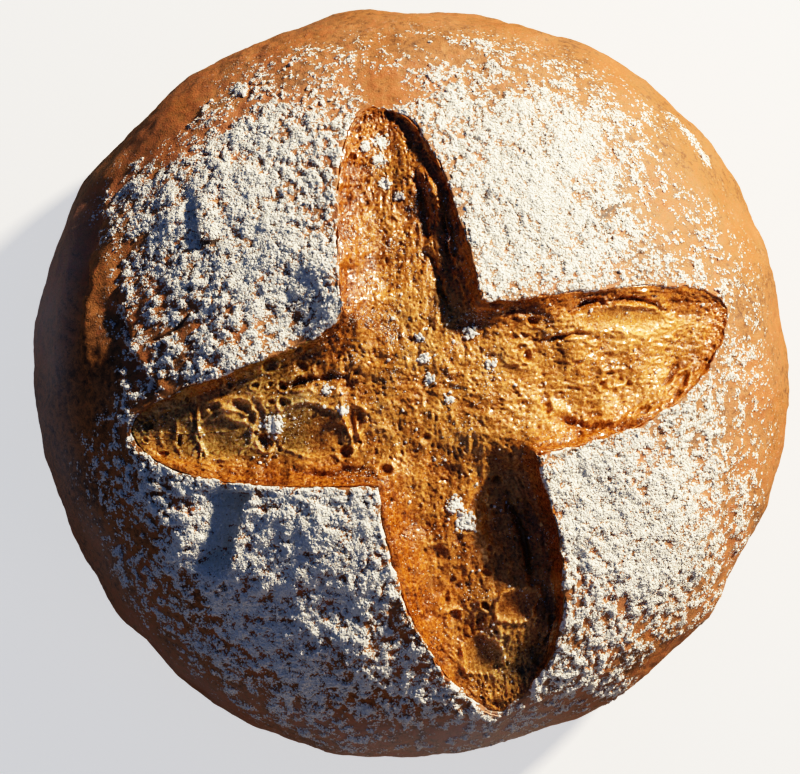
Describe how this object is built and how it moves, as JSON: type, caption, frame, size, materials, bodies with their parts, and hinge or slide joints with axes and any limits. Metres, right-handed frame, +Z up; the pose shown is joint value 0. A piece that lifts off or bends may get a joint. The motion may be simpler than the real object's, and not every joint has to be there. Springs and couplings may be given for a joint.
{
  "type": "gluten-free sorghum loaf",
  "caption": "Round domed bread loaf with a wide open cross cut that shows its crumb, a browned flour-dusted crust and a flat base to rest on.",
  "frame": {"origin": "middle of the flat base, on the surface that the loaf stands on", "axes": "+X to the right, +Y to the back, +Z up through the open cross"},
  "size_m": [0.2094, 0.2093, 0.0937],
  "materials": {
    "crust": "dry baked crust, orange brown, matt",
    "crumb": "toasted open crumb, golden, slightly glossy",
    "flour": "dry flour grains, cream white, matt"
  },
  "bodies": {
    "root": {"loaf": "crust"}
  },
  "joints": []
}
